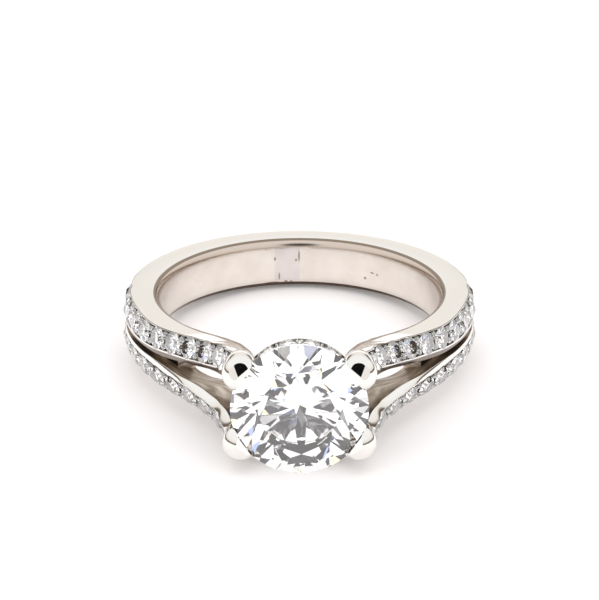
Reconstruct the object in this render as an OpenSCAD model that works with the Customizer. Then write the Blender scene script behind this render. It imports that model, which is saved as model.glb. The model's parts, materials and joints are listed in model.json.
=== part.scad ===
// Split-shank ring with a round centre stone, lying on its side.
// The ring is drawn about its finger axis (Z), with the head towards -Y, and then tipped so that
// the centre stone's girdle and the back of the band rest on the ground.

/* [Band] */
// Radius of the finger hole
bore_r = 8.45; // [8.35:0.05:8.55]
// Width of the band along the finger
band_w = 3.1; // [3:0.05:3.2]
// Radius of the band's outside
band_r = 10.4; // [10.36:0.01:10.44]
// How far the band's outside is set towards the head, which thins the back
band_set = 0.1; // [0.05:0.01:0.15]
// Radial size of the rounding along the finger hole's rims
comfort_r = 0.42; // [0.3:0.02:0.46]
// Size of the rounding along the finger hole's rims, measured along the finger
comfort_z = 0.62; // [0.5:0.01:0.63]
// Radius along the band's two outer edges
band_edge = 0.1; // [0.05:0.01:0.15]

/* [Centre stone] */
// Diameter of the centre stone
stone_d = 8; // [7.9:0.05:8.1]
// Distance from the finger axis to the middle of the centre stone's girdle
girdle_h = 14.5; // [14.4:0.05:14.6]
// Clearance between a stone and its seat
seat_gap = 0.04; // [0.03:0.01:0.06]

/* [Gallery] */
// Radius of the gallery ring's outside
gallery_r = 3.55; // [3.5:0.01:3.6]
// Distance from the finger axis to the gallery ring's underside
gallery_low = 12.42; // [12.4:0.01:12.5]
// Distance from the finger axis to the gallery ring's top
gallery_top = 13.75; // [13.7:0.01:13.78]
// Radius of the hole in the gallery ring's underside
gallery_hole_r = 2.75; // [2.65:0.01:2.85]
// Depth of the gallery stones' girdles under the ring's outside
gallery_sink = 0.12; // [0.1:0.01:0.15]
// Diameter of the gallery's stones
gallery_stone_d = 1.16; // [1.1:0.01:1.2]

/* [Claws] */
// Radius of a claw's round outline
claw_r = 1.07; // [1:0.01:1.1]
// Distance from the stone's axis to a claw's centre
claw_out = 4.03; // [4:0.01:4.08]
// Angle of a claw above or below the horizontal
claw_angle = 32.5; // [31.5:0.1:33.5]
// Distance from the stone's axis to a claw's straight inner edge
claw_chord = 3.82; // [3.78:0.01:3.86]
// Distance from the finger axis to the claw tips
claw_tip = 15.22; // [15.15:0.01:15.3]

/* [Pave] */
// Diameter of the stones in the rails
pave_d = 1.28; // [1.2:0.01:1.32]
// Distance from stone to stone along a rail
pave_pitch = 1.53; // [1.5:0.01:1.55]
// Distance of the first stone from the rail's start
pave_start = 1.6; // [1.55:0.01:1.65]
// Number of full stones in a rail
pave_count = 10; // [9:1:10]
// Diameter of the small stone that ends a rail
end_stone_d = 0.8; // [0.76:0.01:0.82]
// Distance of the small stone from the last full one
end_pitch = 1.2; // [1.18:0.01:1.24]
// How far the small stone is set towards the rail's outer edge
end_shift = 0.14; // [0.1:0.01:0.15]

/* [Hidden] */
$fn = 96;

// Rows along the upper right rail, from behind the side to the claw.
// Where the rail follows the finger hole, a row starts on the hole at its own angle from the head:
// angle, rim height, then distance from the finger axis and height of the outer edge, the ridge
// and the gap edge, and last the height of the gap wall at the finger hole.
side_rows = [
    [102, 1.53, 10.26, 1.52, 10.32, 0.55, 10.29, 0.19, 0.25],
    [ 94, 1.54, 10.28, 1.60, 10.43, 0.50, 10.39, 0.19, 0.25],
    [ 86, 1.55, 10.26, 1.68, 10.57, 0.42, 10.53, 0.19, 0.25],
    [ 78, 1.55, 10.25, 1.76, 10.65, 0.40, 10.62, 0.19, 0.25],
    [ 70, 1.55, 10.31, 1.80, 10.72, 0.40, 10.68, 0.19, 0.25],
    [ 62, 1.55, 10.43, 1.80, 10.80, 0.40, 10.74, 0.19, 0.25],
    [ 54, 1.55, 10.57, 1.84, 10.88, 0.48, 10.82, 0.20, 0.27],
    [ 47, 1.55, 10.64, 1.94, 11.00, 0.63, 10.92, 0.28, 0.38],
    [ 40, 1.55, 10.75, 2.06, 11.19, 0.78, 11.09, 0.45, 0.60],
];
// Where the rail turns up to the claw, a row gives the lean of its section from the head's
// direction, the section's start beside and before the finger axis, the offset and height of the
// rim, outer edge, ridge and gap edge, and the height of the gap wall inside.
head_rows = [
    [42, 4.73,  7.00, 0.42, 1.56, 2.42, 2.17, 2.95, 0.87, 2.74, 0.53, 0.72],
    [46, 4.05,  7.76, 0.42, 1.60, 2.45, 2.27, 2.98, 1.01, 2.70, 0.62, 0.85],
    [52, 3.63,  8.23, 0.42, 1.66, 2.45, 2.31, 3.00, 1.06, 2.70, 0.67, 0.90],
    [57, 3.39,  8.61, 0.41, 1.72, 2.38, 2.35, 2.97, 1.09, 2.66, 0.70, 0.92],
    [62, 3.13,  9.40, 0.40, 1.88, 2.19, 2.43, 2.73, 1.16, 2.41, 0.80, 0.95],
    [72, 2.87, 10.45, 0.37, 2.09, 1.86, 2.62, 2.41, 1.28, 2.10, 0.87, 1.00],
    [80, 2.73, 11.33, 0.33, 2.25, 1.66, 2.76, 2.17, 1.40, 1.90, 0.95, 1.10],
    [86, 2.66, 12.25, 0.30, 2.40, 1.52, 2.85, 2.02, 1.55, 1.61, 1.04, 1.15],
    [90, 2.58, 13.20, 0.25, 2.65, 1.25, 2.98, 1.80, 1.90, 1.42, 1.32, 1.30],
    [90, 2.62, 13.90, 0.30, 2.90, 1.10, 3.05, 1.72, 2.00, 1.28, 1.42, 1.40],
];
LEAN = 0;
START_X = 1;
START_H = 2;
RIM = 3;
OUTER = 5;
RIDGE = 7;
GAP = 9;
GAP_INNER_Z = 11;

// Sections drawn between two rows
row_steps = 3;
// The gap between the two rails of a side opens in front of this angle
web_angle = 46;
// Distance from the finger axis to the floor of the groove behind the gap
web_r = 9.85;
// Half the height of the metal between the rails, and the angle by which it runs into the band
web_half = 0.6;
web_overlap = 6;
// Angle behind which the band is plain, and where that lies behind the finger axis
plain_angle = 94;
plain_y = 0.85;
// Radius of a claw's foot and the length over which it swells to the claw's own radius
claw_foot_r = 0.75;
claw_swell = 1.1;
// Distances from the finger axis to a claw's foot and to where its straight inner edge begins
claw_low = 12.55;
claw_face = 14.6;
// A claw's tip has two facets that meet in a ridge through this place, beside and above the axis
claw_ridge_x = 3.4;
claw_ridge_y = 2.2;
// Slope of the facet that faces up, and the slope and turn of the one that faces out
upper_slope = 25;
outer_slope = 24;
outer_turn = 40;
// Turn of the centre stone, so that a side of its girdle lies flat on the ground
stone_turn = 180 / 64;
// Heights and radii of a round brilliant as shares of its diameter
table_share = 0.57;
crown_share = 0.15;
girdle_share = 0.025;
pavilion_share = 0.43;
// Shares of the way from the table to the girdle at which the star facets end, and from the
// girdle to the culet at which the lower facets end
star_share = 0.5;
lower_share = 0.78;

stone_r = stone_d / 2;
girdle_half = stone_d * girdle_share / 2;
// The ring rests on the flat under the girdle's lower edge and on the rounded edge at the band's
// back: their distances from the finger axis, and from the plane midway between the ring's faces
stone_foot_h = girdle_h - girdle_half;
stone_foot_z = stone_r * cos(stone_turn);
back_foot_y = band_r - band_set - band_edge;
back_foot_z = band_w / 2 - band_edge;
foot_span = stone_foot_h + back_foot_y;
foot_drop = stone_foot_z - back_foot_z;
rest_tilt = atan(foot_drop / foot_span) - asin(band_edge / norm([foot_drop, foot_span]));
// Places of the ring's middle above the ground and behind the middle of the laid ring's length
rest_z = stone_foot_z * cos(rest_tilt) - stone_foot_h * sin(rest_tilt);
table_h = girdle_h + girdle_half + stone_d * crown_share;
front_reach = table_h * cos(rest_tilt) + stone_r * table_share * sin(rest_tilt);
back_reach = back_foot_y * cos(rest_tilt) + back_foot_z * sin(rest_tilt) + band_edge;
rest_y = (front_reach - back_reach) / 2;

// A row of the full table: side rows get their start from the finger hole
function side_row(r) = [
    r[0], bore_r * sin(r[0]), bore_r * cos(r[0]), comfort_r, r[1],
    r[2] - bore_r, r[3], r[4] - bore_r, r[5], r[6] - bore_r, r[7], r[8]
];
rail_rows = concat([for (r = side_rows) side_row(r)], head_rows);

// A smooth curve through four neighbouring values, at share t between the middle two
function curve(a, b, c, d, t) =
    ((2 * b) + (c - a) * t + (2 * a - 5 * b + 4 * c - d) * t * t
    + (3 * b - a - 3 * c + d) * t * t * t) / 2;
last_row = len(rail_rows) - 1;
function row_at(i, t) = curve(
    rail_rows[max(i - 1, 0)], rail_rows[i], rail_rows[i + 1],
    rail_rows[min(i + 2, last_row)], t
);
stations = concat(
    [for (i = [0 : last_row - 1], k = [0 : row_steps - 1]) row_at(i, k / row_steps)],
    [rail_rows[last_row]]
);

// The point of a row at an offset from its start and a height
function at(row, offset, z) = [
    row[START_X] + sin(row[LEAN]) * offset,
    -row[START_H] - cos(row[LEAN]) * offset,
    z
];
function edge(row, column) = at(row, row[column], row[column + 1]);
// How far the rails, the web and the band reach into the finger hole, so that the bore trims them
rail_reach = 0.2;
web_reach = 0.3;
band_reach = 0.4;
// The rounding of the finger hole's rims: shares of its radial size, and of its size along the
// finger measured back from the rim
rim_curve = [[0.134, 0.5], [0.5, 0.134], [1, 0]];
rim_start = 1.15;
function section(row) = concat(
    [
        at(row, -rail_reach, row[GAP_INNER_Z]),
        at(row, -rail_reach, row[RIM + 1] - comfort_z * rim_start)
    ],
    [for (p = rim_curve) at(row, row[RIM] * p[0], row[RIM + 1] - comfort_z * p[1])],
    [edge(row, OUTER), edge(row, RIDGE), edge(row, GAP)]
);

// A solid swept through rings of points that all have the same number of corners
module swept(rings) {
    sides = len(rings[0]);
    count = len(rings);
    walls = [
        for (i = [0 : count - 2], k = [0 : sides - 1])
            let (n = (k + 1) % sides, a = i * sides, b = a + sides)
            each [[a + k, a + n, b + n], [a + k, b + n, b + k]]
    ];
    near = [[for (k = [sides - 1 : -1 : 0]) k]];
    far = [[for (k = [0 : sides - 1]) (count - 1) * sides + k]];
    polyhedron([for (r = rings, p = r) p], concat(near, walls, far), convexity = 6);
}

module rail() {
    swept([for (row = stations) section(row)]);
}

// Copies for the four quarters of the ring
module each_side() {
    children();
    mirror([1, 0, 0]) children();
}
module each_quarter() {
    each_side() children();
    mirror([0, 0, 1]) each_side() children();
}

// A round brilliant with its girdle's middle at the origin and its table up.
// mains is the number of main facets, arcs the girdle sides beneath one upper facet.
module brilliant(d, mains, arcs) {
    r = d / 2;
    step = 180 / mains;
    table_r = r * table_share;
    edge_r = table_r * cos(step);
    girdle = d * girdle_share / 2;
    table_z = girdle + d * crown_share;
    star_r = edge_r + (r - edge_r) * star_share;
    star_z = table_z - d * crown_share * (star_r * cos(step) - table_r) / (r - table_r);
    culet_z = -girdle - d * pavilion_share;
    tip_r = r * (1 - lower_share) / cos(step);
    tip_z = -girdle - d * pavilion_share * lower_share;
    rim = 2 * mains * arcs;
    points = concat(
        ring_points(mains, table_r, 0, table_z),
        ring_points(mains, star_r, step, star_z),
        ring_points(rim, r, 0, girdle),
        ring_points(rim, r, 0, -girdle),
        ring_points(mains, tip_r, step, tip_z),
        [[0, 0, culet_z]]
    );
    star = mains;
    top = star + mains;
    low = top + rim;
    tip = low + rim;
    culet = tip + mains;
    mains_faces = [
        for (k = [0 : mains - 1])
            let (last = (k + mains - 1) % mains, main = 2 * k * arcs)
            each [
                [k, (k + 1) % mains, star + k],
                [k, star + k, top + main],
                [k, top + main, star + last],
                [culet, low + main, tip + k],
                [culet, tip + last, low + main]
            ]
    ];
    rim_faces = [
        for (k = [0 : rim - 1])
            let (next = (k + 1) % rim, half = floor(k / arcs / 2))
            each [
                [star + half, top + next, top + k],
                [top + k, top + next, low + next],
                [top + k, low + next, low + k],
                [tip + half, low + k, low + next]
            ]
    ];
    table_face = [[for (k = [mains - 1 : -1 : 0]) k]];
    polyhedron(points, concat(table_face, mains_faces, rim_faces), convexity = 2);
}
// Points evenly around a circle, the first one turned by an angle
function ring_points(count, r, turn, z) = [
    for (k = [0 : count - 1])
        let (a = turn + 360 * k / count)
        [r * cos(a), r * sin(a), z]
];

// The line of the pavé stones runs midway between the outer edge and the ridge
stone_line = [for (row = stations) (edge(row, OUTER) + edge(row, RIDGE)) / 2];
last_station = len(stations) - 1;
function length_to(i, line, sum = 0, k = 1) =
    k > i ? sum : length_to(i, line, sum + norm(line[k] - line[k - 1]), k + 1);
line_lengths = [for (i = [0 : last_station]) length_to(i, stone_line)];
function unit(v) = v / norm(v);
// Directions along the rail, across it and out of its stone face, at a station
function along_at(i) =
    unit(stone_line[min(i + 1, last_station)] - stone_line[max(i - 1, 0)]);
function across_at(i) = edge(stations[i], OUTER) - edge(stations[i], RIDGE);
function out_at(i) = unit(cross(across_at(i), along_at(i)));
function component(values, c) = [for (i = [0 : last_station]) [line_lengths[i], values[i][c]]];
function along_line(s, values) = [for (c = [0 : 2]) lookup(s, component(values, c))];
outs = [for (i = [0 : last_station]) out_at(i)];
alongs = [for (i = [0 : last_station]) along_at(i)];

// Puts a part drawn on the XY plane on the stone line, a distance s along it, its Z outwards
module on_rail(s, shift = 0) {
    p = along_line(s, stone_line);
    z = unit(along_line(s, outs));
    y = unit(cross(z, along_line(s, alongs)));
    x = cross(y, z);
    o = p - y * shift;
    multmatrix([
        [x[0], y[0], z[0], o[0]],
        [x[1], y[1], z[1], o[1]],
        [x[2], y[2], z[2], o[2]],
        [0, 0, 0, 1]
    ]) children();
}
pave_places = [for (k = [0 : pave_count - 1]) pave_start + k * pave_pitch];
end_place = pave_places[pave_count - 1] + end_pitch;
module pave_row() {
    for (s = pave_places) on_rail(s) brilliant(pave_d, 8, 1);
    on_rail(end_place, end_shift) brilliant(end_stone_d, 8, 1);
}

// The space that a stone needs in the metal, open above its girdle
module seat(d) {
    r = d / 2 + seat_gap;
    girdle = d * girdle_share / 2 + seat_gap;
    depth = girdle + d * pavilion_share;
    translate([0, 0, -girdle]) cylinder(r = r, h = d);
    translate([0, 0, -depth]) cylinder(r1 = 0.1 * d, r2 = r, h = depth - girdle);
}
module pave_seats() {
    for (s = pave_places) on_rail(s) seat(pave_d);
    on_rail(end_place, end_shift) seat(end_stone_d);
}

// Parts drawn about the Z axis are laid so that their Z points from the finger axis to the head
module towards_head() {
    rotate([90, 0, 0]) children();
}
// Angles from upright of the gallery's stones, where no claw covers it
gallery_turns = [-33, -11, 11, 33, 90, 147, 169, 191, 213, 270];
gallery_mid = (gallery_low + gallery_top) / 2;
module on_gallery() {
    for (a = gallery_turns)
        towards_head() rotate([0, 0, -a]) translate([0, gallery_r - gallery_sink, gallery_mid])
            rotate([-90, 0, 0]) children();
}

module gallery_row() {
    on_gallery() brilliant(gallery_stone_d, 8, 1);
}

// The band: plain behind the sides, with its finger hole's rims rounded
module band() {
    side = 2 * band_r;
    difference() {
        intersection() {
            rotate_extrude() band_section();
            translate([0, -band_set, 0]) rotate_extrude() translate([0, -band_w / 2])
                rounded_bar(band_r, band_w, band_edge);
        }
        translate([-band_r, plain_y - side, -band_w]) cube([side, side, 2 * band_w]);
    }
}
module band_section() {
    inner = bore_r - band_reach;
    half = band_w / 2;
    difference() {
        translate([inner, -half - 1]) square([band_r - inner + 1, band_w + 2]);
        for (side = [0, 1]) mirror([0, side]) rim_rounding(half);
    }
}
// What the rounding takes off a rim of the finger hole
module rim_rounding(half) {
    rim = [for (p = rim_curve) [bore_r + comfort_r * p[0], half - comfort_z * p[1]]];
    low = [bore_r - band_reach, half - comfort_z * rim_start];
    beyond = [[bore_r + comfort_r, half + 2], [low[0] - 1, half + 2]];
    polygon(concat([low - [1, 0], low], rim, beyond));
}
// A rectangle from the axis outwards with its two outer corners rounded
module rounded_bar(length, height, edge_r) {
    square([length - edge_r, height]);
    translate([0, edge_r]) square([length, height - 2 * edge_r]);
    for (y = [edge_r, height - edge_r]) translate([length - edge_r, y]) circle(r = edge_r);
}

// The metal between the two rails of a side, behind the gap
module web() {
    rotate([0, 0, web_angle - 90]) rotate_extrude(angle = plain_angle + web_overlap - web_angle)
        translate([bore_r - web_reach, -web_half]) square([web_r - bore_r + web_reach, 2 * web_half]);
}

// One claw, drawn about the stone's axis as Z, upper right
module claw() {
    rotate([0, 0, claw_angle]) difference() {
        translate([claw_out, 0, 0]) {
            translate([0, 0, claw_low]) cylinder(r1 = claw_foot_r, r2 = claw_r, h = claw_swell);
            translate([0, 0, claw_low + claw_swell])
                cylinder(r = claw_r, h = claw_tip - claw_low - claw_swell);
        }
        translate([claw_chord - 2 * claw_r, -2 * claw_r, claw_face])
            cube([2 * claw_r, 4 * claw_r, claw_tip]);
    }
}
// Takes off a tip what lies beyond a sloped facet through a point
module facet_cut(place, slope, turn) {
    size = 6 * claw_r;
    translate(place) rotate([0, slope, turn]) translate([-size / 2, -size / 2, 0])
        cube([size, size, claw_tip]);
}
module faceted_claw() {
    difference() {
        claw();
        facet_cut([claw_ridge_x, claw_ridge_y, claw_tip], upper_slope, 90);
        facet_cut([claw_ridge_x, claw_ridge_y, claw_tip], outer_slope, outer_turn);
    }
}

module gallery_ring() {
    translate([0, 0, gallery_low]) difference() {
        cylinder(r = gallery_r, h = gallery_top - gallery_low);
        translate([0, 0, -1]) cylinder(r = gallery_hole_r, h = gallery_top);
    }
}

// The space that the centre stone needs, drawn about its axis as Z
module stone_space() {
    seat_half = girdle_half + seat_gap / 2;
    seat_r = stone_r + seat_gap;
    pavilion_h = seat_r * 2 * pavilion_share;
    crown_h = stone_d * crown_share * seat_r / (stone_r - stone_r * table_share);
    translate([0, 0, girdle_h]) {
        translate([0, 0, -seat_half]) cylinder(r = seat_r, h = 2 * seat_half);
        translate([0, 0, -seat_half - pavilion_h]) cylinder(r1 = 0, r2 = seat_r, h = pavilion_h);
        translate([0, 0, seat_half]) cylinder(r1 = seat_r, r2 = 0, h = crown_h);
    }
}

// Lays the ring on the ground: the head's side of the finger axis is lifted to the stone's girdle
module laid_down() {
    translate([0, rest_y, rest_z]) rotate([-rest_tilt, 0, 0]) children();
}

module mount() color([0.84, 0.82, 0.79]) laid_down() {
    difference() {
        union() {
            band();
            each_side() web();
            each_quarter() rail();
            each_quarter() towards_head() faceted_claw();
            towards_head() gallery_ring();
        }
        translate([0, 0, -2 * band_w]) cylinder(r = bore_r, h = 4 * band_w);
        towards_head() stone_space();
        each_quarter() pave_seats();
        on_gallery() seat(gallery_stone_d);
    }
}
module centre_stone() color([0.93, 0.95, 0.98]) laid_down()
    towards_head() translate([0, 0, girdle_h]) rotate([0, 0, stone_turn]) brilliant(stone_d, 8, 4);
module small_stones() color([0.9, 0.93, 0.96]) laid_down() children();
module pave_right_upper() small_stones() pave_row();
module pave_left_upper() small_stones() mirror([1, 0, 0]) pave_row();
module pave_right_lower() small_stones() mirror([0, 0, 1]) pave_row();
module pave_left_lower() small_stones() mirror([1, 0, 0]) mirror([0, 0, 1]) pave_row();
module gallery_stones() small_stones() gallery_row();

mount();
centre_stone();
pave_left_upper();
pave_left_lower();
pave_right_upper();
pave_right_lower();
gallery_stones();
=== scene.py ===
# Split-shank platinum ring with a round brilliant, lying on its side.
# The pieces are modelled in millimetres about the finger axis (Z), with the head towards -Y,
# and the finished meshes are laid on the ground where the CAD model lies.
import json
import math
import bmesh
import bpy
from mathutils import Matrix, Vector


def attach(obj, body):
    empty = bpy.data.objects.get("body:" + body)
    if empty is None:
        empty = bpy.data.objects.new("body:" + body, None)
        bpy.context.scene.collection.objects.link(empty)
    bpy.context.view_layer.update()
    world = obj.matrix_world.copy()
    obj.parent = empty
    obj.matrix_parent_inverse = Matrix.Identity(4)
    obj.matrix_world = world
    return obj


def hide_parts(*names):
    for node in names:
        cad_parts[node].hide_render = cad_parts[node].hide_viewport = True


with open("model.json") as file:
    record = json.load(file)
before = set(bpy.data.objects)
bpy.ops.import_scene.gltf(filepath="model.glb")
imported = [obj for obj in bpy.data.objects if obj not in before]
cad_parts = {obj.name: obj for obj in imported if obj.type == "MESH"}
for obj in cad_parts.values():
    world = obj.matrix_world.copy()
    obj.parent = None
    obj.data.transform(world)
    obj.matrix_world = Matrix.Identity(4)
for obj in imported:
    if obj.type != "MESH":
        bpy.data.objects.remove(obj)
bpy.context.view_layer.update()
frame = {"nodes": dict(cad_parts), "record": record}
print("frame loaded:", sorted(frame["nodes"]))

# The finger hole's mount says how the ring is tipped and where its middle is
fingerHole = frame["record"]["mounts"][0]
boreR = fingerHole["dims"]["r_mm"]
restTilt = math.atan2(fingerHole["axis"][1], fingerHole["axis"][2])
layDown = (Matrix.Translation(fingerHole["pos_m"]) @ Matrix.Rotation(-restTilt, 4, "X")
           @ Matrix.Scale(0.001, 4))
towardsHead = Matrix.Rotation(math.radians(90), 4, "X")  # turns +Z, drawn upright, to -Y
nearby = {"spun": 0.0005, "lofted": 0.0008, "cut": 1e-6}  # corners this near are one, in mm


def linearColour(text):
    # sRGB hex to the linear values that the shaders take
    shares = [int(text[k:k + 2], 16) / 255 for k in (1, 3, 5)]
    return [c / 12.92 if c <= 0.04045 else ((c + 0.055) / 1.055) ** 2.4 for c in shares] + [1]


def addNode(tree, kind, settings=None, links=None, stops=(), **options):
    # One node with its options, socket values and links, and a ramp's colour stops
    node = tree.nodes.new(kind)
    for name, value in options.items():
        setattr(node, name, value)
    for socket, value in (settings or {}).items():
        node.inputs[socket].default_value = value
    for socket, source in (links or {}).items():
        tree.links.new(source, node.inputs[socket])
    for k, (position, colour) in enumerate(stops):
        elements = node.color_ramp.elements
        element = elements[k] if k < 2 else elements.new(position)  # a new ramp has two
        element.position = position
        element.color = linearColour(colour)
    return node


def newMaterial(name, settings):
    material = bpy.data.materials.new(name)
    material.use_nodes = True
    for socket, value in settings.items():
        material.node_tree.nodes["Principled BSDF"].inputs[socket].default_value = value
    return material


def nodesOf(material):
    return material.node_tree, material.node_tree.nodes["Principled BSDF"]


def addPiece(name, bm, node, materials):
    bmesh.ops.transform(bm, matrix=layDown, verts=bm.verts)
    mesh = bpy.data.meshes.new(name)
    bm.to_mesh(mesh)
    bm.free()
    for material in materials:
        mesh.materials.append(material)
    piece = bpy.data.objects.new(name, mesh)
    bpy.context.scene.collection.objects.link(piece)
    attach(piece, "root")
    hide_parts(node)
    return piece


def spun(profile, steps):
    # A closed solid turned about Z from (radius, height) corners
    bm = bmesh.new()
    corners = [bm.verts.new((r, 0, h)) for r, h in profile]
    chain = list(zip(corners, corners[1:]))
    if profile[0][0] > 0:
        chain.append((corners[-1], corners[0]))
    edges = [bm.edges.new(pair) for pair in chain]
    bmesh.ops.spin(bm, geom=corners + edges, cent=(0, 0, 0), axis=(0, 0, 1),
                   angle=2 * math.pi, steps=steps, use_merge=True)
    bmesh.ops.remove_doubles(bm, verts=bm.verts, dist=nearby["spun"])
    bmesh.ops.recalc_face_normals(bm, faces=bm.faces)
    for face in bm.faces:
        face.smooth = True
    return bm


def joined(target, other, matrix=Matrix.Identity(4), material=0):
    # Adds a copy of another mesh, placed by a matrix, with outward normals also if mirrored
    copy = other.copy()
    bmesh.ops.transform(copy, matrix=matrix, verts=copy.verts)
    if matrix.determinant() < 0:
        bmesh.ops.reverse_faces(copy, faces=copy.faces)
    for face in copy.faces:
        face.material_index = material
    scratch = bpy.data.meshes.new("scratch")
    copy.to_mesh(scratch)
    copy.free()
    target.from_mesh(scratch)
    bpy.data.meshes.remove(scratch)


def cutBy(bm, spot, normal):
    # Takes away what lies past a plane, and closes the cut with a flat face
    cut = bmesh.ops.bisect_plane(bm, geom=bm.verts[:] + bm.edges[:] + bm.faces[:],
                                 dist=nearby["cut"], plane_co=spot, plane_no=normal,
                                 clear_outer=True)
    rim = [e for e in cut["geom_cut"] if isinstance(e, bmesh.types.BMEdge)]
    if rim:
        bmesh.ops.edgeloop_fill(bm, edges=rim)


def combined(bm, other, operation):
    # The union or difference of two closed meshes
    objects = []
    for source in (bm, other):
        mesh = bpy.data.meshes.new("scratch")
        source.to_mesh(mesh)
        source.free()
        objects.append(bpy.data.objects.new("scratch", mesh))
        bpy.context.scene.collection.objects.link(objects[-1])
    boolean = objects[0].modifiers.new("boolean", "BOOLEAN")
    boolean.object = objects[1]
    boolean.operation = operation
    boolean.solver = "EXACT"
    result = bmesh.new()
    result.from_object(objects[0], bpy.context.evaluated_depsgraph_get())
    for scratch in objects:
        mesh = scratch.data
        bpy.data.objects.remove(scratch)
        bpy.data.meshes.remove(mesh)
    return result


# Camera at the photo's viewing angle: its place in mm about the ring, its clip in metres
photoView = {"place": (0, -231.64, 94.03), "down": 21.898, "lens": 247.05, "sensor": 36,
             "clip": (0.01, 10)}
cameraData = bpy.data.cameras.new("photoCamera")
cameraData.sensor_fit = "HORIZONTAL"
cameraData.sensor_width = photoView["sensor"]
cameraData.lens = photoView["lens"]
cameraData.clip_start, cameraData.clip_end = photoView["clip"]
camera = bpy.data.objects.new("photoCamera", cameraData)
camera.location = layDown @ Vector(photoView["place"])
camera.rotation_euler = (math.radians(90 - photoView["down"]) - restTilt, 0, 0)
bpy.context.scene.collection.objects.link(camera)
bpy.context.scene.camera = camera
bpy.context.scene.view_settings.view_transform = "Standard"

# White light tent: bright above, dim near the table except straight behind the ring, and dark
# at its opening in front. Seen through the stones it is made of separate bright panels with a
# few dark gaps, which gives their facets light and dark
tent = {
    # Colour by height: 0 is the horizon and 1 straight up
    "heights": ((0, "#6d6157"), (0.1, "#6d6157"), (0.19, "#f3efe9"), (0.5, "#ffffff")),
    # Brightness, and what the table and the inside of the stones get on top of it
    "strength": 1.06, "forTable": 0.28, "inStones": 0.75,
    # Patches and gaps: bearing from the front, height, size and soft edge in degrees, colour
    "patches": ((180, 0, 10, 6, "#f6f2ec"), (0, 28, 12, 3, "#0a090a")),
    "gaps": ((5, 15, 16, 3, "#28272b"), (-10, 15, 16, 3, "#28272b"), (40, 65, 16, 3, "#3b3a40"),
             (25, 0, 15, 3, "#333238"), (-20, 0, 8, 3, "#333238")),
    # Panels: how many to a unit of direction, and which share of them has each colour
    "panelScale": 3.2,
    "panels": ((0, "#6f6c76"), (0.09, "#ffffff"), (0.58, "#a3b5f0"), (0.66, "#ffffff"),
               (0.86, "#f0e7c4"), (0.91, "#ffffff")),
}
world = bpy.data.worlds.new("tent")
bpy.context.scene.world = world
world.use_nodes = True
sky = world.node_tree
direction = addNode(sky, "ShaderNodeTexCoord").outputs["Generated"]


def addPatches(below, patches):
    # Lays round patches with soft edges over what the tent shows
    for bearing, height, size, edge, colour in patches:
        flat = Matrix.Rotation(math.radians(bearing), 3, "Z") @ Vector((0, -1, 0))
        rise = math.radians(height)
        aim = flat * math.cos(rise) + Vector((0, 0, math.sin(rise)))
        towards = addNode(sky, "ShaderNodeVectorMath", {1: aim}, {0: direction},
                          operation="DOT_PRODUCT")
        share = addNode(sky, "ShaderNodeMapRange",
                        {"From Min": math.cos(math.radians(size + edge)),
                         "From Max": math.cos(math.radians(size))},
                        {"Value": towards.outputs["Value"]})
        below = addNode(sky, "ShaderNodeMix", {"B": linearColour(colour)},
                        {"Factor": share.outputs["Result"], "A": below},
                        data_type="RGBA").outputs["Result"]
    return below


upwards = addNode(sky, "ShaderNodeSeparateXYZ", links={"Vector": direction}).outputs["Z"]
cloth = addNode(sky, "ShaderNodeValToRGB", None, {"Fac": upwards}, tent["heights"])
cells = addNode(sky, "ShaderNodeTexVoronoi", {"Scale": tent["panelScale"]},
                {"Vector": direction})
cellShare = addNode(sky, "ShaderNodeSeparateColor", links={"Color": cells.outputs["Color"]})
panels = addNode(sky, "ShaderNodeValToRGB", None, {"Fac": cellShare.outputs["Red"]},
                 tent["panels"])
panels.color_ramp.interpolation = "CONSTANT"
rays = addNode(sky, "ShaderNodeLightPath")
shown = addNode(sky, "ShaderNodeMix", None,
                {"Factor": rays.outputs["Is Transmission Ray"],
                 "A": addPatches(cloth.outputs["Color"], tent["patches"]),
                 "B": addPatches(panels.outputs["Color"], tent["gaps"])}, data_type="RGBA")
onTable = addNode(sky, "ShaderNodeMath", {1: tent["forTable"], 2: tent["strength"]},
                  {0: rays.outputs["Is Diffuse Ray"]}, operation="MULTIPLY_ADD")
strength = addNode(sky, "ShaderNodeMath", {1: tent["inStones"]},
                   {0: rays.outputs["Is Transmission Ray"], 2: onTable.outputs["Value"]},
                   operation="MULTIPLY_ADD")
sky.links.new(shown.outputs["Result"], sky.nodes["Background"].inputs["Color"])
sky.links.new(strength.outputs["Value"], sky.nodes["Background"].inputs["Strength"])

# Soft light over the ring, in metres and watts
softLight = {"size": 0.5, "power": 0.4, "place": (0, 0.02, 0.5)}
lightData = bpy.data.lights.new("softLight", "AREA")
lightData.size = softLight["size"]
lightData.energy = softLight["power"]
light = bpy.data.objects.new("softLight", lightData)
light.location = softLight["place"]
light.visible_glossy = False
light.visible_transmission = False
bpy.context.scene.collection.objects.link(light)

# Pale table top of matt card, which gives a soft shadow, with a faint glow that keeps it white
floor = {"radius": 0.8, "corners": 64, "colour": "#f4f1f1", "roughness": 0.9, "sheen": 0.1,
         "glow": 0.05}
card = newMaterial("matt white card", {
    "Base Color": linearColour(floor["colour"]), "Roughness": floor["roughness"],
    "Specular IOR Level": floor["sheen"], "Emission Color": (1, 1, 1, 1),
    "Emission Strength": floor["glow"]})
floorBm = bmesh.new()
bmesh.ops.create_circle(floorBm, cap_ends=True, segments=floor["corners"],
                        radius=floor["radius"])
floorMesh = bpy.data.meshes.new("tableTop")
floorBm.to_mesh(floorMesh)
floorBm.free()
floorMesh.materials.append(card)
tableTop = bpy.data.objects.new("tableTop", floorMesh)
bpy.context.scene.collection.objects.link(tableTop)
print("camera, tent and table made")


def patternScale(perMm):
    # From how many of a pattern's grains fit in a millimetre, as finished pieces are in metres
    return 1000 * perMm


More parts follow.
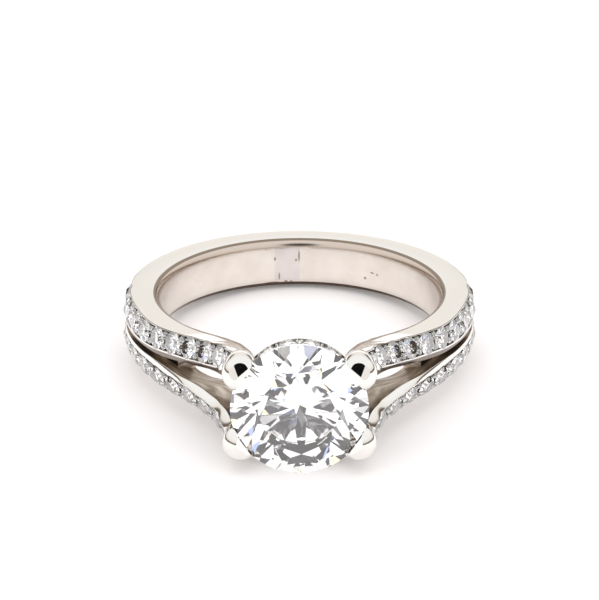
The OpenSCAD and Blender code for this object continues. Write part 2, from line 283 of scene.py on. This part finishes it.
def addWear(material, finish):
    # Fine wear raises the roughness in places
    tree, shader = nodesOf(material)
    place = addNode(tree, "ShaderNodeTexCoord").outputs["Object"]
    wear = addNode(tree, "ShaderNodeTexNoise",
                   {"Scale": patternScale(finish["wearPerMm"]), "Detail": finish["wearDetail"]},
                   {"Vector": place})
    roughness = addNode(tree, "ShaderNodeMapRange",
                        {"To Min": finish["roughness"],
                         "To Max": finish["roughness"] + finish["wear"]},
                        {"Value": wear.outputs["Fac"]})
    tree.links.new(roughness.outputs["Result"], shader.inputs["Roughness"])


# Polished platinum: near-mirror reflections, a little blurred by fine wear. Real wear is finer
# than a pixel, so it is drawn as coarser spots
polish = {"colour": "#efede9", "roughness": 0.06, "wear": 0.06, "wearPerMm": 1.4,
          "wearDetail": 3}
platinum = newMaterial("polished platinum", {"Base Color": linearColour(polish["colour"]),
                                             "Metallic": 1, "Roughness": polish["roughness"]})
addWear(platinum, polish)

# Satin platinum: the finger hole's softer, slightly warmer sheen, with pits and a few scratches.
# Its grain is drawn coarser than the real one too
satin = {
    "colours": ((0.3, "#e4dbd3"), (0.7, "#ede6df")), "cloudsPerMm": 0.7, "cloudDetail": 2,
    "roughness": 0.24, "wear": 0.12, "wearPerMm": 3, "wearDetail": 2,
    "halfWidth": 1.2, "margin": 0.02,  # a face this near to the finger hole is part of it
    "markColour": "#978a80", "markDepth": 5, "markEdge": (0.6, 1.1),
    # Marks: place across the ring and along the finger axis, half width, half height
    "marks": (
        (-0.03, 0.5, 0.06, 0.42), (-0.22, 0.23, 0.07, 0.1), (-1.54, 0.35, 0.07, 0.14),
        (-1.27, -0.82, 0.06, 0.26), (-1.75, -1.25, 0.5, 0.08), (-0.85, -1.2, 0.12, 0.08),
        (-0.53, -1.22, 0.1, 0.07), (4.1, -0.57, 0.09, 0.1), (4.53, -0.13, 0.13, 0.06),
        (4.84, -0.18, 0.07, 0.07)),
}
# The seam where the ring was once sized is greyer
seam = {"colours": ((0.3, "#dad2cf"), (0.7, "#e5dedb")), "from": -1.66, "to": 0.03}


def satinMetal(name, colours):
    material = newMaterial(name, {"Metallic": 1, "Roughness": satin["roughness"]})
    tree, shader = nodesOf(material)
    place = addNode(tree, "ShaderNodeTexCoord").outputs["Object"]
    clouds = addNode(tree, "ShaderNodeTexNoise",
                     {"Scale": patternScale(satin["cloudsPerMm"]),
                      "Detail": satin["cloudDetail"]}, {"Vector": place})
    colour = addNode(tree, "ShaderNodeValToRGB", None, {"Fac": clouds.outputs["Fac"]},
                     colours).outputs["Color"]
    fadeStart, fadeEnd = satin["markEdge"]
    for x, z, wide, high in satin["marks"]:
        spot = layDown @ Vector((x, math.sqrt(boreR ** 2 - x * x), z))
        size = [patternScale(1 / length) for length in (wide, satin["markDepth"], high)]
        offset = addNode(tree, "ShaderNodeVectorMath", {1: spot}, {0: place},
                         operation="SUBTRACT")
        scaled = addNode(tree, "ShaderNodeVectorMath", {1: size},
                         {0: offset.outputs["Vector"]}, operation="MULTIPLY")
        distance = addNode(tree, "ShaderNodeVectorMath", None, {0: scaled.outputs["Vector"]},
                           operation="LENGTH")
        share = addNode(tree, "ShaderNodeMapRange",
                        {"From Min": fadeStart, "From Max": fadeEnd, "To Min": 1, "To Max": 0},
                        {"Value": distance.outputs["Value"]})
        colour = addNode(tree, "ShaderNodeMix", {"B": linearColour(satin["markColour"])},
                         {"Factor": share.outputs["Result"], "A": colour},
                         data_type="RGBA").outputs["Result"]
    tree.links.new(colour, shader.inputs["Base Color"])
    addWear(material, satin)
    return material


satinPlatinum = satinMetal("satin platinum", satin["colours"])
seamPlatinum = satinMetal("seam platinum", seam["colours"])

# Diamond: clear, with strong bending of the light that gives bright and dark facets
clearStone = {"Base Color": (1, 1, 1, 1), "Roughness": 0, "IOR": 2.42, "Transmission Weight": 1}
diamond = newMaterial("diamond", clearStone)
# Small diamonds: the same, their crowns catching more of the tent's white
smallDiamond = newMaterial("small diamond", {**clearStone, "Coat Weight": 1, "Coat Roughness": 0,
                                             "Coat IOR": clearStone["IOR"]})

# Gap platinum: in the gap, where no wheel reaches, dull file streaks along the rails, darkened to
# brown as painted shade of the gap
streakedInShade = {"streaks": ((0.3, "#6f6153"), (0.5, "#a39687"), (0.68, "#ddd2c6")), "roughness": 0.3,
         "alongPerMm": 0.5, "acrossPerMm": 9, "detail": 3}
streakedShadedPlatinum = newMaterial("streaked platinum with painted gap shade", {"Metallic": 1, "Roughness": streakedInShade["roughness"]})
tree, shader = nodesOf(streakedShadedPlatinum)
place = addNode(tree, "ShaderNodeTexCoord").outputs["Object"]
along, across = patternScale(streakedInShade["alongPerMm"]), patternScale(streakedInShade["acrossPerMm"])
stretched = addNode(tree, "ShaderNodeMapping", {"Scale": (along, along, across)},
                    {"Vector": place})
grain = addNode(tree, "ShaderNodeTexNoise", {"Scale": 1, "Detail": streakedInShade["detail"]},
                {"Vector": stretched.outputs["Vector"]})
streaks = addNode(tree, "ShaderNodeValToRGB", None, {"Fac": grain.outputs["Fac"]},
                  streakedInShade["streaks"])
tree.links.new(streaks.outputs["Color"], shader.inputs["Base Color"])

# Platinum with painted shade and painted dark reflections: the upper rim's rounding dimmer, with
# a darker line along each edge, the bevel beside the gap, and the shaded edge under the finger
# hole
paintedShades = {"roughness": 0.2, "colours": {
    "platinum with painted dim reflection": "#d3c5ba", "platinum with painted dark lines": "#8d7f70", "bevel platinum with painted shade": "#8c837c",
    "shaded platinum": "#5f4d43"}}
paintedDimRimPlatinum, paintedShadeLinePlatinum, paintedShadeBevelPlatinum, shadePlatinum = [
    newMaterial(name, {"Base Color": linearColour(colour), "Metallic": 1,
                       "Roughness": paintedShades["roughness"]})
    for name, colour in paintedShades["colours"].items()]
print("materials made")

# The shank: one quarter is lofted through rows and mirrored
shank = {
    # Plain band: outer circle and its shift, half width and rounding, then where the rails'
    # ridge, gap edge, gap wall and groove start from on it, and the angles of its rows
    "bandR": 10.4, "bandSet": 0.1, "bandHalf": 1.55, "bandEdge": 0.05,
    "bandRidge": 0.55, "bandGap": 0.19, "bandWall": 0.25, "bandGroove": 0.002,
    "bandAngles": (*range(180, 108, -8), 108, 102),
    # Rails: roundings of the outer edge, the ridge and the rim inside, where the groove in the
    # gap lies, and the angle at which the web between the rails ends
    "railEdge": 0.03, "softRidge": 0.03, "rimSize": 0.62, "rimShare": 0.75, "rimDepth": 0.42,
    "rimStep": 15, "grooveR": 9.85, "webAngle": 47,
    # Channel for the stones: metal beside it, where it starts and ends along the stone line,
    # its depth and that of the plain band, where it narrows, and the strips that wall it
    "outerLip": 0.07, "ridgeLip": 0.07, "endLip": 0.42, "leastLip": 0.01,
    "channelStart": 0.88, "channelEnd": 17.02, "endStep": 0.02,
    "channelDepth": 0.6, "plainDepth": 0.001, "narrowing": (15.9, 16.4), "channelWalls": (13, 15),
    # Mesh: stations between two rows, how far a section may reach inwards, and the angle and
    # the corners past which an edge and a face are kept sharp
    "rowSteps": 6, "reach": 0.2, "sharpAngle": 28, "flatCorners": 12,
}
# Angle from the head, rim height, then distance from the finger axis and height of the outer
# edge, the ridge and the gap edge, and the height of the gap wall at the finger hole
sideRows = [
    (94, 1.54, 10.28, 1.60, 10.43, 0.50, 10.39, 0.19, 0.25),
    (86, 1.55, 10.26, 1.68, 10.57, 0.42, 10.53, 0.19, 0.25),
    (78, 1.55, 10.25, 1.76, 10.65, 0.40, 10.62, 0.19, 0.25),
    (70, 1.55, 10.31, 1.80, 10.72, 0.40, 10.68, 0.19, 0.25),
    (62, 1.55, 10.43, 1.80, 10.80, 0.40, 10.74, 0.19, 0.25),
    (54, 1.55, 10.57, 1.84, 10.88, 0.48, 10.82, 0.20, 0.75),
    (47, 1.55, 10.64, 1.94, 11.00, 0.63, 10.92, 0.28, 1.12),
    (40, 1.55, 10.75, 2.06, 11.19, 0.78, 11.09, 0.45, 1.30),
]
# Lean, start beside and before the finger axis, then offset and height of the rim, outer edge,
# ridge and gap edge, and the height of the gap wall inside
headRows = [
    (42, 4.73, 7.00, 0.42, 1.56, 2.42, 2.17, 2.95, 0.87, 2.74, 0.53, 1.30),
    (46, 4.05, 7.76, 0.42, 1.60, 2.45, 2.27, 2.98, 1.01, 2.70, 0.62, 1.20),
    (52, 3.63, 8.23, 0.42, 1.66, 2.45, 2.31, 3.00, 1.06, 2.70, 0.67, 1.12),
    (57, 3.39, 8.61, 0.41, 1.72, 2.38, 2.35, 2.97, 1.09, 2.66, 0.70, 1.08),
    (62, 3.13, 9.40, 0.40, 1.88, 2.19, 2.43, 2.73, 1.16, 2.41, 0.80, 1.08),
    (72, 2.87, 10.45, 0.37, 2.09, 1.86, 2.62, 2.41, 1.28, 2.10, 0.87, 1.08),
    (80, 2.73, 11.33, 0.33, 2.25, 1.66, 2.76, 2.17, 1.40, 1.90, 0.95, 1.10),
    (86, 2.66, 12.25, 0.30, 2.40, 1.52, 2.85, 2.02, 1.55, 1.61, 1.04, 1.15),
    (90, 2.58, 13.20, 0.25, 2.65, 1.25, 2.98, 1.80, 1.90, 1.42, 1.32, 1.30),
    (90, 2.62, 13.90, 0.30, 2.90, 1.10, 3.05, 1.72, 2.00, 1.28, 1.42, 1.40),
]
outerColumns, ridgeColumns = slice(5, 7), slice(7, 9)  # offset and height in a full row


def holeRow(angle, *rest):
    # A row that starts on the finger hole at its own angle
    turn = math.radians(angle)
    return [angle, boreR * math.sin(turn), boreR * math.cos(turn), *rest]


def backRow(angle):
    turn = math.radians(angle)
    bandR, bandSet = shank["bandR"], shank["bandSet"]
    reach = bandSet * math.cos(turn) + math.sqrt(bandR ** 2 - (bandSet * math.sin(turn)) ** 2)
    offset, half = reach - boreR, shank["bandHalf"]
    return holeRow(angle, shank["rimDepth"], half, offset, half, offset, shank["bandRidge"],
                   offset, shank["bandGap"], shank["bandWall"], shank["bandGroove"],
                   shank["bandEdge"])


def sideRow(angle, rimZ, outerR, outerZ, ridgeR, ridgeZ, gapR, gapZ, wallZ):
    grooveShare = (gapR - shank["grooveR"]) / (gapR - boreR)
    return holeRow(angle, shank["rimDepth"], rimZ, outerR - boreR, outerZ, ridgeR - boreR, ridgeZ,
                   gapR - boreR, gapZ, wallZ, grooveShare, shank["railEdge"])


rows = [backRow(angle) for angle in shank["bandAngles"]]
backCount = len(rows)
rows += [sideRow(*row) for row in sideRows]
rows += [[*row, rows[-1][-2], shank["railEdge"]] for row in headRows]


def curve(a, b, c, d, t):
    # From b to c, smoothly on from a and towards d
    return (2 * b + (c - a) * t + (2 * a - 5 * b + 4 * c - d) * t ** 2
            + (3 * b - a - 3 * c + d) * t ** 3) / 2


def at(row, offset, z):
    turn = math.radians(row[0])
    return Vector((row[1] + math.sin(turn) * offset, -row[2] - math.cos(turn) * offset, z))


def outerEdge(row):
    return at(row, *row[outerColumns])


def ridgeEdge(row):
    return at(row, *row[ridgeColumns])


def stoneLine(row):
    return (outerEdge(row) + ridgeEdge(row)) / 2


stations = []
for i in range(len(rows) - 1):
    four = [rows[max(i - 1, 0)], rows[i], rows[i + 1], rows[min(i + 2, len(rows) - 1)]]
    for step in range(shank["rowSteps"]):
        stations.append([curve(*column, step / shank["rowSteps"]) for column in zip(*four)])
stations.append(list(rows[-1]))

# Each station's last value is its distance along the stone line from where the plain band ends
travelled = 0
distances = [0]
for a, b in zip(stations, stations[1:]):
    travelled += (stoneLine(b) - stoneLine(a)).length
    distances.append(travelled)
zeroAt = distances[(backCount - 1) * shank["rowSteps"]]
stations = [row + [distance - zeroAt] for row, distance in zip(stations, distances)]


def addStation(column, value):
    # Puts a station where a column passes a value, unless one is there already
    for i, (a, b) in enumerate(zip(stations, stations[1:])):
        if min(a[column], b[column]) < value < max(a[column], b[column]):
            t = (value - a[column]) / (b[column] - a[column])
            stations.insert(i + 1, [p + (q - p) * t for p, q in zip(a, b)])
            return


def softCorner(before, corner, after, size):
    a = corner + (before - corner).normalized() * size
    b = corner + (after - corner).normalized() * size
    return [a, (a + b) / 4 + corner / 2, b]


def section(row, closed):
    # (offset, height) corners from the finger hole over the top to the gap
    (lean, x, h, rimO, rimZ, outerO, outerZ, ridgeO, ridgeZ, gapO, gapZ, wallZ, wallShare, edgeR,
     along) = row
    leanTurn = math.radians(lean)
    b = x * math.sin(leanTurn) + h * math.cos(leanTurn)
    root = b * b - (x * x + h * h - boreR ** 2)
    innerO = max(-shank["reach"], -b + math.sqrt(root)) if root > 0 else -shank["reach"]
    low, rim = Vector((innerO, wallZ)), Vector((rimO, rimZ))
    outer, ridge, gap = Vector((outerO, outerZ)), Vector((ridgeO, ridgeZ)), Vector((gapO, gapZ))
    rimSize = min(shank["rimSize"], (rimZ - wallZ) * shank["rimShare"])
    rounding = []
    for degrees in range(0, 91, shank["rimStep"]):
        turn = math.radians(degrees)
        rounding.append(Vector((rimO - (rimO - innerO) * math.cos(turn),
                                rimZ - rimSize + rimSize * math.sin(turn))))
    across = (ridge - outer).normalized()
    outwards = Vector((-across.y, across.x))
    inChannel = shank["channelStart"] < along < shank["channelEnd"]
    depth = shank["channelDepth"] if inChannel else shank["plainDepth"]
    first, last = shank["narrowing"]
    narrow = min(max((along - first) / (last - first), 0), 1)
    lipA = outer + across * max(shank["outerLip"], edgeR + shank["leastLip"])
    lipB = ridge - across * (shank["ridgeLip"] + shank["endLip"] * narrow)
    wall = gap.lerp(low, wallShare)
    ends = [(low + wall) / 2] * 2
    if closed:
        ends = [Vector((innerO, 0)), Vector((wall.x, 0))]
    return [ends[0], low, *rounding, *softCorner(rim, outer, ridge, edgeR),
            lipA, lipA - outwards * depth, lipB - outwards * depth, lipB,
            *softCorner(outer, ridge, gap, shank["softRidge"]),
            *softCorner(ridge, gap, low, shank["softRidge"]), wall, ends[1]]


for offset in (-shank["endStep"], shank["endStep"]):
    addStation(-1, shank["channelStart"] + offset)
    addStation(-1, shank["channelEnd"] + offset)
addStation(0, shank["webAngle"])
webEnd = next(i for i, row in enumerate(stations)
              if abs(row[0] - shank["webAngle"]) < nearby["cut"])
outlines = [[at(row, *corner) for corner in section(row, i <= webEnd)]
            for i, row in enumerate(stations)]
outlines.insert(webEnd + 1, [at(stations[webEnd], *corner)
                             for corner in section(stations[webEnd], False)])

# A grid 1 wide, a square to a face, is laid over the outlines. Until the metal is joined, the
# material number says which strip of the section a face is in. The plain band is polished where
# the rails have channel walls and gap walls, but for its first faces: they are read as the last
# station's, which shows as a small brown tick at the very back
metal = bmesh.new()
last, corners = len(outlines) - 1, len(outlines[0]) - 1
bmesh.ops.create_grid(metal, x_segments=last, y_segments=corners, size=0.5)
for face in metal.faces:
    middle = face.calc_center_median()
    along = stations[int((middle.x + 0.5) * last) - 1][-1]
    strip = 1 + int((middle.y + 0.5) * corners)
    isPlain = strip in shank["channelWalls"] and along < shank["channelStart"]
    isPlain = isPlain or strip > shank["channelWalls"][-1] and along < 0
    face.material_index = 0 if isPlain else strip
    face.smooth = True
for vert in metal.verts:
    i, k = round((vert.co.x + 0.5) * last), round((vert.co.y + 0.5) * corners)
    vert.co = outlines[i][k]
bmesh.ops.remove_doubles(metal, verts=metal.verts, dist=nearby["lofted"])
for axis in "ZX":
    bmesh.ops.mirror(metal, geom=metal.verts[:] + metal.edges[:] + metal.faces[:],
                     matrix=Matrix.Identity(4), merge_dist=nearby["lofted"], axis=axis)
bmesh.ops.holes_fill(metal, edges=metal.edges, sides=0)
bmesh.ops.recalc_face_normals(metal, faces=metal.faces)
print("shank lofted:", len(metal.faces), "faces,",
      sum(not edge.is_manifold for edge in metal.edges), "open edges")

# Claws: round buttons with a straight inner edge and three flat facets on the domed top
claw = {
    "out": 4.03, "angle": 32.5, "steps": 64,
    "profile": ((0, 15.27), (0.2, 15.25), (0.45, 15.17), (0.65, 15.06), (0.83, 14.92),
                (0.97, 14.76), (1.05, 14.6), (1.07, 14.4), (1.07, 13.9), (1.0, 13.4),
                (0.87, 12.95), (0.75, 12.55), (0, 12.55)),
    "chord": 3.82, "face": 14.6, "block": 4,  # the straight edge, cut by a block over the stone
    "facetTip": (3.517, 2.254, 15.198),  # where the three facets meet, and how they slope
    "slopes": ((0, 0.402), (0.229, 0.311), (-0.43, -0.15)),
}
button = spun(claw["profile"], claw["steps"])
bmesh.ops.transform(button, matrix=Matrix.Translation((claw["out"], 0, 0)), verts=button.verts)
block = bmesh.new()
bmesh.ops.create_cube(block, size=claw["block"])
halfBlock = claw["block"] / 2
bmesh.ops.transform(block, matrix=Matrix.Translation((claw["chord"] - halfBlock, 0,
                                                      claw["face"] + halfBlock)),
                    verts=block.verts)
button = combined(button, block, "DIFFERENCE")
clawTurn = math.radians(claw["angle"])
bmesh.ops.transform(button, matrix=Matrix.Rotation(clawTurn, 4, "Z"), verts=button.verts)
for slopeX, slopeY in claw["slopes"]:
    cutBy(button, Vector(claw["facetTip"]), Vector((slopeX, slopeY, 1)).normalized())
claws = bmesh.new()
for sideX in (1, -1):
    for sideY in (1, -1):
        joined(claws, button, towardsHead @ Matrix.Diagonal((sideX, sideY, 1, 1)))
button.free()

# Gallery ring under the girdle, with a channel for its stones and posts between them
gallery = {
    "profile": ((2.75, 12.42), (3.52, 12.42), (3.55, 12.45), (3.55, 12.49), (3.10, 12.53),
                (3.10, 13.10), (3.36, 13.64), (3.55, 13.68), (3.55, 13.72), (3.52, 13.75),
                (3.30, 13.75), (2.75, 12.95)),
    "steps": 128, "r": 3.55, "middle": 13.085,
    "stone": 1.16, "sink": 0.12, "stoneTurns": (-33, -11, 11, 33, 90, 147, 169, 191, 213, 270),
    "postAt": 3.4, "postR": 0.1, "postLength": 1.1, "postSides": 12,
    "postTurns": (-22, 0, 22, 158, 180, 202),
}
galleryRing = spun(gallery["profile"], gallery["steps"])
bmesh.ops.transform(galleryRing, matrix=towardsHead, verts=galleryRing.verts)

# The centre stone's seat
seat = {"r": 4.04, "girdle": 14.5, "half": 0.12, "pavilion": 3.475, "crown": 2.82, "steps": 128}
seatTop, seatBottom = seat["girdle"] + seat["half"], seat["girdle"] - seat["half"]
stoneSpace = spun(((0, seatTop + seat["crown"]), (seat["r"], seatTop), (seat["r"], seatBottom),
                   (0, seatBottom - seat["pavilion"])), seat["steps"])
bmesh.ops.transform(stoneSpace, matrix=towardsHead, verts=stoneSpace.verts)
metal = combined(metal, claws, "UNION")
metal = combined(metal, galleryRing, "UNION")
metal = combined(metal, stoneSpace, "DIFFERENCE")

# The metal of the section's strips, on the upper rails and on the lower ones. A strip lies
# between two corners, counted from the finger hole over the top to the gap
metals = [platinum, satinPlatinum, seamPlatinum, streakedShadedPlatinum, paintedDimRimPlatinum, paintedShadeLinePlatinum,
          paintedShadeBevelPlatinum, shadePlatinum]
stripMetals = (
    ((1,), streakedShadedPlatinum, streakedShadedPlatinum),  # the gap wall at the finger hole
    # the upper rim's rounding: painted dark lines at its edges and a painted dim reflection
    # between them; the lower one: satin, then painted shade
    ((3,), paintedShadeLinePlatinum, satinPlatinum),  # the rim's rounding, from the finger hole outwards
    ((4,), paintedDimRimPlatinum, satinPlatinum),
    ((5, 6), paintedDimRimPlatinum, shadePlatinum),
    ((7, 8), paintedShadeLinePlatinum, shadePlatinum),
    # the dark lines along the outer edge, the channel walls and the gap edge are painted shade
    ((10, 11), paintedShadeLinePlatinum, platinum),  # the outer edge
    (shank["channelWalls"], paintedShadeLinePlatinum, paintedShadeLinePlatinum),
    # the upper rails' bevel beside the gap is painted shaded, the lower ones' polished
    ((19, 20), paintedShadeBevelPlatinum, platinum),  # the bevel beside the gap and its edge
    ((21,), paintedShadeLinePlatinum, platinum),
    ((22, 23), streakedShadedPlatinum, streakedShadedPlatinum),  # the walls of the gap
)
metalPairs = {strip: pair for strips, *pair in stripMetals for strip in strips}
for face in metal.faces:
    middle = face.calc_center_median()
    fromAxis = math.hypot(middle.x, middle.y)
    if fromAxis < boreR + satin["margin"] and abs(middle.z) < satin["halfWidth"]:
        inSeam = middle.y > 0 and seam["from"] < middle.x < seam["to"]
        faceMetal = seamPlatinum if inSeam else satinPlatinum
    else:
        upper, lower = metalPairs.get(face.material_index, (platinum, platinum))
        faceMetal = lower if middle.z < 0 else upper
    face.material_index = metals.index(faceMetal)
for edge in metal.edges:
    isFlat = any(len(face.verts) > shank["flatCorners"] for face in edge.link_faces)
    edge.smooth = not isFlat and edge.calc_face_angle(0) < math.radians(shank["sharpAngle"])
print("metal joined:", len(metal.faces), "faces,",
      sum(not edge.is_manifold for edge in metal.edges), "open edges")
mountPiece = addPiece("splitShankMount", metal, "mount", metals)
flats = mountPiece.modifiers.new("flats", "WEIGHTED_NORMAL")
flats.keep_sharp = True

# Round brilliants, cut facet by facet from a round blank. Sizes are shares of the diameter.
# Star is a share of the way from the table to the girdle, and lower of that from it to the
# point. Mains is how many main facets go round
cut = {"table": 0.57, "crown": 0.15, "girdle": 0.025, "pavilion": 0.43, "star": 0.5,
       "lower": 0.78, "mains": 8, "merge": 1e-4}


def brilliant(diameter, roundness, single=False):
    # A single cut has the table and the main facets alone
    r = diameter / 2
    girdle = diameter * cut["girdle"] / 2
    tableZ = girdle + diameter * cut["crown"]
    culetZ = -girdle - diameter * cut["pavilion"]
    step = math.pi / cut["mains"]
    tableR = r * cut["table"]
    edgeR = tableR * math.cos(step)
    starR = edgeR + (r - edgeR) * cut["star"]
    starZ = tableZ - (tableZ - girdle) * (starR * math.cos(step) - tableR) / (r - tableR)
    lowerR = r * (1 - cut["lower"]) / math.cos(step)
    lowerZ = -girdle + (culetZ + girdle) * cut["lower"]

    def point(turn, radius, z):
        return Vector((radius * math.cos(turn), radius * math.sin(turn), z))

    bm = bmesh.new()
    bmesh.ops.create_cone(bm, cap_ends=True, segments=roundness, radius1=r, radius2=r,
                          depth=2 * r)
    planes = [(Vector((0, 0, tableZ)), Vector((0, 0, 1)))]
    for k in range(cut["mains"]):
        main = 2 * k * step
        mid = main + step
        corner, nextCorner = point(main, tableR, tableZ), point(mid + step, tableR, tableZ)
        starTip, lowerTip = point(mid, starR, starZ), point(mid, lowerR, lowerZ)
        above, below = point(main, r, girdle), point(main, r, -girdle)
        sideways = point(main + math.pi / 2, 1, 0)
        facets = [(corner, above, above + sideways),
                  (Vector((0, 0, culetZ)), below, below + sideways)]
        if not single:
            facets += [(corner, nextCorner, starTip),
                       (starTip, above, point(mid, r, girdle)),
                       (starTip, point(mid, r, girdle), point(mid + step, r, girdle)),
                       (lowerTip, below, point(mid, r, -girdle)),
                       (lowerTip, point(mid, r, -girdle), point(mid + step, r, -girdle))]
        for a, b, c in facets:
            normal = (b - a).cross(c - a).normalized()
            planes.append((a, normal if normal.dot(a) > 0 else -normal))
    for spot, normal in planes:
        cutBy(bm, spot, normal)
    bmesh.ops.remove_doubles(bm, verts=bm.verts, dist=diameter * cut["merge"])
    bmesh.ops.recalc_face_normals(bm, faces=bm.faces)
    return bm


# The centre stone, turned a little in its seat
centre = {"diameter": 8, "turn": 2.8125, "roundness": 96}
stone = brilliant(centre["diameter"], centre["roundness"])
bmesh.ops.transform(stone, matrix=towardsHead @ Matrix.Translation((0, 0, seat["girdle"]))
                    @ Matrix.Rotation(math.radians(centre["turn"]), 4, "Z"), verts=stone.verts)
brilliantPiece = addPiece("centreBrilliant", stone, "centre_stone", [diamond])
brilliantPiece.visible_shadow = False  # a clear stone lets the light through to the table
brilliantPiece.visible_diffuse = False
print("centre stone cut")

# Stones of the four rails, with the beads that hold them
pave = {
    "diameter": 1.34, "first": 1.6, "pitch": 1.53, "count": 10, "roundness": 32,
    "endDiameter": 0.8, "endPitch": 1.2, "endShift": 0.14, "beadAcross": 0.36, "beadSteps": 16,
    "bead": ((0, 0.15), (0.09, 0.13), (0.17, 0.07), (0.22, -0.03), (0.22, -0.55), (0, -0.55)),
}
smallStone = brilliant(pave["diameter"], pave["roundness"], single=True)
endStone = brilliant(pave["endDiameter"], pave["roundness"], single=True)
galleryStone = brilliant(gallery["stone"], pave["roundness"])
bead = spun(pave["bead"], pave["beadSteps"])


def onRail(along, shift=0):
    # A place on the stone line, its Z out of the rail and its Y towards the outer edge
    a, b = next((a, b) for a, b in zip(stations, stations[1:]) if a[-1] <= along < b[-1])
    row = [p + (q - p) * (along - a[-1]) / (b[-1] - a[-1]) for p, q in zip(a, b)]
    forwards = (stoneLine(b) - stoneLine(a)).normalized()
    acrossRail = outerEdge(row) - ridgeEdge(row)
    outwards = acrossRail.cross(forwards).normalized()
    sideways = forwards.cross(outwards)
    if sideways.dot(acrossRail) < 0:
        sideways = -sideways
    spot = stoneLine(row) + sideways * shift
    frameAxes = Matrix((sideways.cross(outwards), sideways, outwards)).transposed().to_4x4()
    return Matrix.Translation(spot) @ frameAxes


railStones = bmesh.new()
places = [pave["first"] + k * pave["pitch"] for k in range(pave["count"])]
for along in places:
    joined(railStones, smallStone, onRail(along))
endPlace = places[-1] + pave["endPitch"]
joined(railStones, endStone, onRail(endPlace, pave["endShift"]))
for along in [p + pave["pitch"] / 2 for p in places[:-1]]:
    for side in (-1, 1):
        joined(railStones, bead, onRail(along, side * pave["beadAcross"]), 1)
for sideX, xName in ((1, "right"), (-1, "left")):
    for sideZ, zName in ((1, "upper"), (-1, "lower")):
        oneRail = bmesh.new()
        joined(oneRail, railStones, Matrix.Diagonal((sideX, 1, sideZ, 1)))
        addPiece(f"pave_{xName}_{zName}_stones", oneRail, f"pave_{xName}_{zName}",
                 [smallDiamond, platinum])
railStones.free()

galleryStones = bmesh.new()
for turn in gallery["stoneTurns"]:
    spot = (Matrix.Rotation(math.radians(-turn), 4, "Z")
            @ Matrix.Translation((0, gallery["r"] - gallery["sink"], gallery["middle"]))
            @ Matrix.Rotation(math.radians(-90), 4, "X"))
    joined(galleryStones, galleryStone, towardsHead @ spot)
post = bmesh.new()
bmesh.ops.create_cone(post, cap_ends=True, segments=gallery["postSides"],
                      radius1=gallery["postR"], radius2=gallery["postR"],
                      depth=gallery["postLength"])
for turn in gallery["postTurns"]:
    spot = (Matrix.Rotation(math.radians(-turn), 4, "Z")
            @ Matrix.Translation((0, gallery["postAt"], gallery["middle"])))
    joined(galleryStones, post, towardsHead @ spot, 1)
addPiece("galleryBrilliants", galleryStones, "gallery_stones",
         [diamond, platinum])
print("small stones set")
